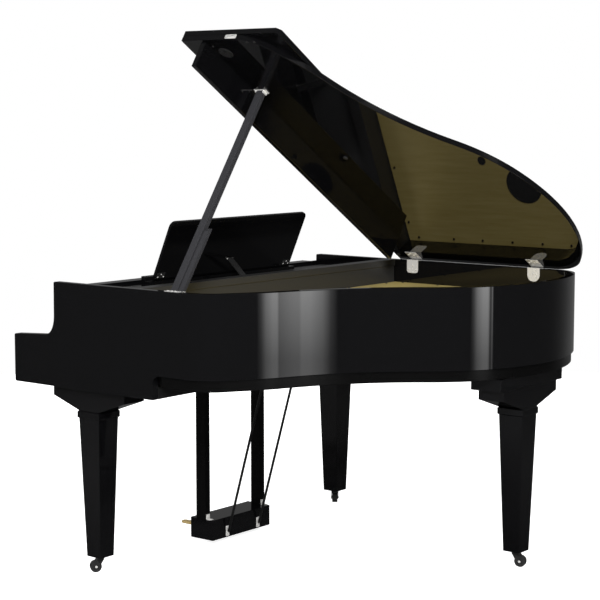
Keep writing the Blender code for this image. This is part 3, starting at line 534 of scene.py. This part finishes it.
def add_prop_bolts(finishes):
    low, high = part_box("prop_base")
    x, z = at(0.6449, 0, 0).x, 0.915
    bolt = bar("prop_bolt", Vector((x, (low[1] + high[1]) / 2, z)), (0, 1, 0), 0.0045,
               high[1] - low[1] + 0.006, 0.0012)
    smooth(bolt)
    finish(bolt, "case", "nickel", finishes)
    head = screw_head(0.003)
    top = high[2] + 0.0004
    places = [toward((high[0] - 0.007, y, top), (0, 0, 1))
              for y in (low[1] + 0.010, (low[1] + high[1]) / 2, high[1] - 0.010)]
    copies(head, "prop_base_screw", places, "case", "nickel", finishes)
    discard(head)
    low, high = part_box("prop_cup")
    head = screw_head(0.0022)
    flat = LID_TURN.inverted()
    middle = flat @ Vector([(a + b) / 2 for a, b in zip(low, high)])
    places = [LID_TURN @ toward((middle.x + step, y, LID_AXIS.z - 0.0026), (0, 0, -1))
              for step in (-0.007, 0.007) for y in (low[1] + 0.012, high[1] - 0.012)]
    copies(head, "prop_cup_screw", places, "lid", "nickel", finishes)
    discard(head)


def add_desk_hinges(finishes):
    """Small hinges on the music desk's rear lower corners, and the strut's screw."""
    low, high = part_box("desk_ledge")
    y, z = high[1] - DESK_FOOT_REAR, DESK_FOOT_Z
    lean = (Matrix.Translation((0, y, z)) @ Matrix.Rotation(-DESK_LEAN, 4, "X")
            @ Matrix.Translation((0, -y, -z)))
    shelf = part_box("shelf")[1][2]
    rear = y + DESK_THICK / 2
    head = screw_head(0.0026)
    for name, x in (("treble", 0.322), ("bass", -0.322)):
        x = at(x, 0, 0).x
        leaf = plate("desk_hinge_leaf_" + name, Vector((x - 0.019, rear, z + 0.006)),
                     Vector((x + 0.019, rear + 0.0015, z + 0.026)), 0.002)
        settle(leaf, lean)
        smooth(leaf)
        finish(leaf, "desk", "black_metal", finishes)
        seat = plate("desk_hinge_seat_" + name, Vector((x - 0.019, high[1] + 0.001, shelf)),
                     Vector((x + 0.019, high[1] + 0.020, shelf + 0.0015)), 0.002)
        smooth(seat)
        finish(seat, "case", "black_metal", finishes)
        places = [lean @ toward((x + step, rear + 0.0017, z + up), (0, 1, 0))
                  for step, up in ((-0.013, 0.011), (0.0, 0.020), (0.013, 0.011))]
        copies(head, "desk_leaf_screw_" + name, places, "desk", "nickel", finishes)
        places = [toward((x + step, high[1] + 0.011, shelf + 0.0017), (0, 0, 1)) for step in (-0.012, 0.012)]
        copies(head, "desk_seat_screw_" + name, places, "case", "nickel", finishes)
    discard(head)
    pivot = lean @ Vector((at(0, 0, 0).x, y + STRUT_AWAY, z + STRUT_UP))
    pin = bar("strut_pin", pivot, (1, 0, 0), 0.0024, 0.0275, 0.0008, 16)
    smooth(pin)
    finish(pin, "desk", "nickel", finishes)


def add_lyre_metal(finishes):
    """Straps that hold the lyre's rods, and brackets at the feet of its posts."""
    box_rear, box_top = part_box("pedal_box")[1][1:]
    head = screw_head(0.0026)
    for name in ("treble", "bass"):
        low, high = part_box("lyre_rod_" + name)
        x = (low[0] + high[0]) / 2
        strap = plate("rod_strap_" + name, Vector((x - 0.0085, box_rear, 0.020)),
                      Vector((x + 0.0085, box_rear + 0.0015, 0.056)), 0.002)
        smooth(strap)
        finish(strap, "case", "nickel", finishes)
        places = [toward((x + step, box_rear + 0.0017, z), (0, 1, 0)) for step, z in ((-0.005, 0.026), (0.005, 0.051))]
        copies(head, "rod_strap_screw_" + name, places, "case", "nickel", finishes)
        low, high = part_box("lyre_post_" + name)
        x, rear = (low[0] + high[0]) / 2, high[1]
        foot = plate("post_bracket_" + name, Vector((x - 0.009, rear, box_top)),
                     Vector((x + 0.009, rear + 0.018, box_top + 0.0015)), 0.002)
        smooth(foot)
        finish(foot, "case", "nickel", finishes)
        riser = plate("post_riser_" + name, Vector((x - 0.009, rear, box_top + 0.001)),
                      Vector((x + 0.009, rear + 0.0015, box_top + 0.018)), 0.002)
        smooth(riser)
        finish(riser, "case", "nickel", finishes)
        places = [toward((x, rear + 0.011, box_top + 0.0017), (0, 0, 1)),
                  toward((x, rear + 0.0017, box_top + 0.010), (0, 1, 0))]
        copies(head, "post_bracket_screw_" + name, places, "case", "nickel", finishes)
    discard(head)


def add_caster_metal(finishes):
    """An axle with bright ends through each fork, and a ferrule round each leg's foot."""
    for place, stem in LEG_PLACES.items():
        middle = middle_of("caster_wheel_" + place)
        trail = (middle - stem) * Vector((1, 1, 0))
        across = Vector((0, 0, 1)).cross(trail.normalized())
        axle = bar("caster_axle_" + place, middle, across, 0.0042, AXLE_LENGTH, 0.0012, 16)
        smooth(axle)
        finish(axle, "caster_" + place, "nickel", finishes)
        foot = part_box("leg_" + place)[0][2]
        ferrule = bar("caster_ferrule_" + place, Vector((stem.x, stem.y, foot + 0.001)), (0, 0, 1),
                      0.019, 0.005, 0.0012, 32)
        smooth(ferrule)
        finish(ferrule, "case", "black_metal", finishes)


def add_soundboard_fittings(finishes):
    """Screws along the soundboard panel's edge, and the cloth and ring of its sound hole."""
    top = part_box("soundboard_panel")[1][2]
    head = screw_head(0.0042)
    spots = [(-0.640, y) for y in (0.594, 0.745, 0.867, 0.990, 1.111, 1.224)]
    spots += [(x, 0.565) for x in (-0.58, -0.36, -0.12, 0.12, 0.36, 0.58)]
    copies(head, "soundboard_screw", [toward(at(x, y, top + 0.0012), (0, 0, 1)) for x, y in spots],
           "case", "black_metal", finishes)
    discard(head)
    for name, x, y, radius in (("sound_hole", -0.415, 1.09, 0.068), ("small_port", -0.325, 0.942, 0.016)):
        ring = bar(name + "_ring", at(x, y, top), (0, 0, 1), radius, 0.003, 0.0006, 48)
        pick(ring, "FACE", lambda face: face.normal.z > 0.99)
        bpy.ops.mesh.inset(thickness=radius * 0.08)
        bpy.ops.mesh.extrude_region_move(TRANSFORM_OT_translate={"value": (0, 0, -0.001)})
        leave_edit()
        smooth(ring)
        finish(ring, "case", "cone_black", finishes)


def add_small_details(finishes):
    """A ring round the power button, the key felt and board parts."""
    low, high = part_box("power_button")
    middle = Vector(((low[0] + high[0]) / 2, (low[1] + high[1]) / 2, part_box("key_block_treble")[1][2]))
    bpy.ops.object.select_all(action="DESELECT")
    bpy.ops.mesh.primitive_torus_add(major_radius=0.0068, minor_radius=0.0011, major_segments=32,
                                     minor_segments=8, location=middle)
    ring = settle(bpy.context.object)
    ring.name = "power_button_ring"
    pick(ring, "FACE", lambda face: True)
    bpy.ops.transform.resize(value=(1, 1, 0.6), center_override=middle)
    leave_edit()
    smooth(ring)
    finish(ring, "case", "nickel", finishes)
    low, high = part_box("nameboard")
    felt = plate("nameboard_felt", Vector((low[0] + 0.045, low[1] + 0.001, low[2] - 0.003)),
                 Vector((high[0] - 0.045, high[1] - 0.001, low[2] + 0.001)), 0.001)
    smooth(felt)
    finish(felt, "case", "cone_black", finishes)
    low, high = [Vector(corner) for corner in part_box("main_board")]
    size = high - low
    for number, (across, deep, wide) in enumerate(((0.2, 0.3, 0.028), (0.5, 0.35, 0.036), (0.78, 0.3, 0.024),
                                                   (0.3, 0.72, 0.03), (0.65, 0.7, 0.03))):
        middle = low + Vector((size.x * across, size.y * deep, size.z))
        chip = plate("board_chip_%d" % (number + 1), middle - Vector((wide / 2, wide / 2, 0.001)),
                     middle + Vector((wide / 2, wide / 2, 0.003)), 0.0008)
        smooth(chip)
        finish(chip, "case", "cone_black", finishes)




# The studio.

def make_camera():
    data = bpy.data.cameras.new("camera")
    data.lens = CAMERA_LENS
    data.sensor_width = SENSOR
    camera = bpy.data.objects.new("camera", data)
    bpy.context.collection.objects.link(camera)
    camera.location = Vector(CAMERA_AT) + CASE_SHIFT
    camera.rotation_euler = (radians(90.0 - CAMERA_PITCH), 0.0, radians(CAMERA_YAW))
    bpy.context.scene.camera = camera


def area_light(name, place, toward, size, power):
    data = bpy.data.lights.new(name, "AREA")
    data.shape = "RECTANGLE"
    data.size, data.size_y = size
    data.energy = power
    lamp = bpy.data.objects.new(name, data)
    bpy.context.collection.objects.link(lamp)
    lamp.location = place
    aim = Vector(toward) - Vector(place)
    lamp.rotation_euler = aim.to_track_quat("-Z", "Y").to_euler()
    lamp.visible_glossy = False
    return lamp


def math_node(tree, operation, *values):
    """A math node whose inputs are numbers or other nodes' outputs."""
    node = tree.nodes.new("ShaderNodeMath")
    node.operation = operation
    for place, value in enumerate(values):
        if isinstance(value, (int, float)):
            node.inputs[place].default_value = value
        else:
            tree.links.new(value, node.inputs[place])
    return node.outputs["Value"]


def between(tree, share, low, high):
    """The value low at share 0 and high at share 1."""
    rise = math_node(tree, "SUBTRACT", high, low)
    return math_node(tree, "MULTIPLY_ADD", share, rise, low)


def by_azimuth(tree, turn, stops):
    """A level that changes with the compass direction, given at stops in degrees."""
    first, last = stops[0][0], stops[-1][0]
    share = math_node(tree, "MULTIPLY_ADD", turn, 180.0 / pi / (last - first), -first / (last - first))
    ramp = tree.nodes.new("ShaderNodeValToRGB")
    marks = ramp.color_ramp.elements
    while len(marks) > 1:
        marks.remove(marks[-1])
    for number, (angle, level) in enumerate(stops):
        where = (angle - first) / (last - first)
        mark = marks[0] if number == 0 else marks.new(where)
        mark.position = where
        mark.color = (level, level, level, 1.0)
    tree.links.new(share, ramp.inputs["Fac"])
    return ramp.outputs["Color"]


def make_world():
    """White where the camera looks, plain soft light, and a dim room with a bright panel."""
    scene = bpy.context.scene
    scene.view_settings.view_transform = "Standard"
    world = bpy.data.worlds.new("studio")
    world.use_nodes = True
    scene.world = world
    tree = world.node_tree
    path = tree.nodes.new("ShaderNodeLightPath")
    place = tree.nodes.new("ShaderNodeTexCoord")
    parts = tree.nodes.new("ShaderNodeSeparateXYZ")
    tree.links.new(place.outputs["Generated"], parts.inputs["Vector"])
    turn = math_node(tree, "ARCTAN2", parts.outputs["Y"], parts.outputs["X"])
    rise = tree.nodes.new("ShaderNodeMapRange")
    rise.inputs["From Min"].default_value = PANEL_LOW[0]
    rise.inputs["From Max"].default_value = PANEL_LOW[1]
    rise.inputs["To Min"].default_value = PANEL_LOW[2]
    tree.links.new(parts.outputs["Z"], rise.inputs["Value"])
    fall = tree.nodes.new("ShaderNodeMapRange")
    fall.inputs["From Min"].default_value = PANEL_HIGH[0]
    fall.inputs["From Max"].default_value = PANEL_HIGH[1]
    fall.inputs["To Min"].default_value = 1.0
    fall.inputs["To Max"].default_value = PANEL_HIGH[2]
    tree.links.new(parts.outputs["Z"], fall.inputs["Value"])
    height = math_node(tree, "MULTIPLY", rise.outputs["Result"], fall.outputs["Result"])
    panel = math_node(tree, "MULTIPLY", by_azimuth(tree, turn, PANEL_STOPS), height)
    room = math_node(tree, "MULTIPLY_ADD", panel, PANEL_GLOSS, by_azimuth(tree, turn, ROOM_STOPS))
    unseen = between(tree, path.outputs["Is Glossy Ray"], WORLD_LIGHT, room)
    seen = math_node(tree, "MAXIMUM", path.outputs["Is Camera Ray"], path.outputs["Is Transmission Ray"])
    tree.links.new(between(tree, seen, unseen, 1.0), tree.nodes["Background"].inputs["Strength"])
    tree.nodes["Background"].inputs["Color"].default_value = (1.0, 1.0, 1.0, 1.0)


def make_lamps():
    area_light("key_light", at(3.6, 3.4, 2.9), at(-0.3, 0.7, 0.8), (1.3, 1.3), 500.0)
    area_light("fill_light", at(-2.5, -2.5, 3.4), at(0, 0.6, 0.8), (1.6, 3.0), 110.0)


def make_floor():
    """A round pale floor: it glows for the camera and keeps the shadow; in gloss it is dim, with painted light and
    shade by compass direction and a painted shadow near the piano.
    """
    bpy.ops.object.select_all(action="DESELECT")
    bpy.ops.mesh.primitive_circle_add(vertices=96, radius=FLOOR_RADIUS, fill_type="NGON",
                                      location=at(0, 0.7, -0.0005))
    floor = bpy.context.object
    floor.name = "floor"
    made = new_material("pale_floor", (FLOOR_COLOUR,) * 3, 0.6)
    tree = made.node_tree
    path = tree.nodes.new("ShaderNodeLightPath")
    shader = tree.nodes["Principled BSDF"]
    shader.inputs["Specular IOR Level"].default_value = 0.0
    shader.inputs["Emission Color"].default_value = (1.0, 1.0, 1.0, 1.0)
    tree.links.new(math_node(tree, "MULTIPLY", path.outputs["Is Camera Ray"], FLOOR_GLOW),
                   shader.inputs["Emission Strength"])
    place = tree.nodes.new("ShaderNodeTexCoord")
    parts = tree.nodes.new("ShaderNodeSeparateXYZ")
    tree.links.new(place.outputs["Object"], parts.inputs["Vector"])
    turn = math_node(tree, "ARCTAN2", parts.outputs["Y"], parts.outputs["X"])
    across = math_node(tree, "MULTIPLY", parts.outputs["X"], parts.outputs["X"])
    away = math_node(tree, "SQRT", math_node(tree, "MULTIPLY_ADD", parts.outputs["Y"], parts.outputs["Y"], across))
    near = tree.nodes.new("ShaderNodeMapRange")
    for socket, value in zip(("From Min", "From Max", "To Min"), FLOOR_PAINTED_SHADE_NEAR):
        near.inputs[socket].default_value = value
    tree.links.new(away, near.inputs["Value"])
    # Painted light and shade seen only in gloss: the compass-direction level times the painted shadow near the piano.
    painted_light_and_shade = math_node(tree, "MULTIPLY", by_azimuth(tree, turn, FLOOR_PAINTED_LIGHT_STOPS), near.outputs["Result"])
    tree.links.new(between(tree, path.outputs["Is Glossy Ray"], FLOOR_COLOUR, painted_light_and_shade),
                   shader.inputs["Base Color"])
    floor.data.materials.append(made)


make_camera()
make_world()
make_lamps()
make_floor()
FINISHES = make_finishes()
round_case(FINISHES)
round_nodes(FINISHES)
add_hinge_screws(FINISHES)
add_lid_fittings(FINISHES)
add_prop_bolts(FINISHES)
add_desk_hinges(FINISHES)
add_lyre_metal(FINISHES)
add_caster_metal(FINISHES)
add_soundboard_fittings(FINISHES)
add_small_details(FINISHES)
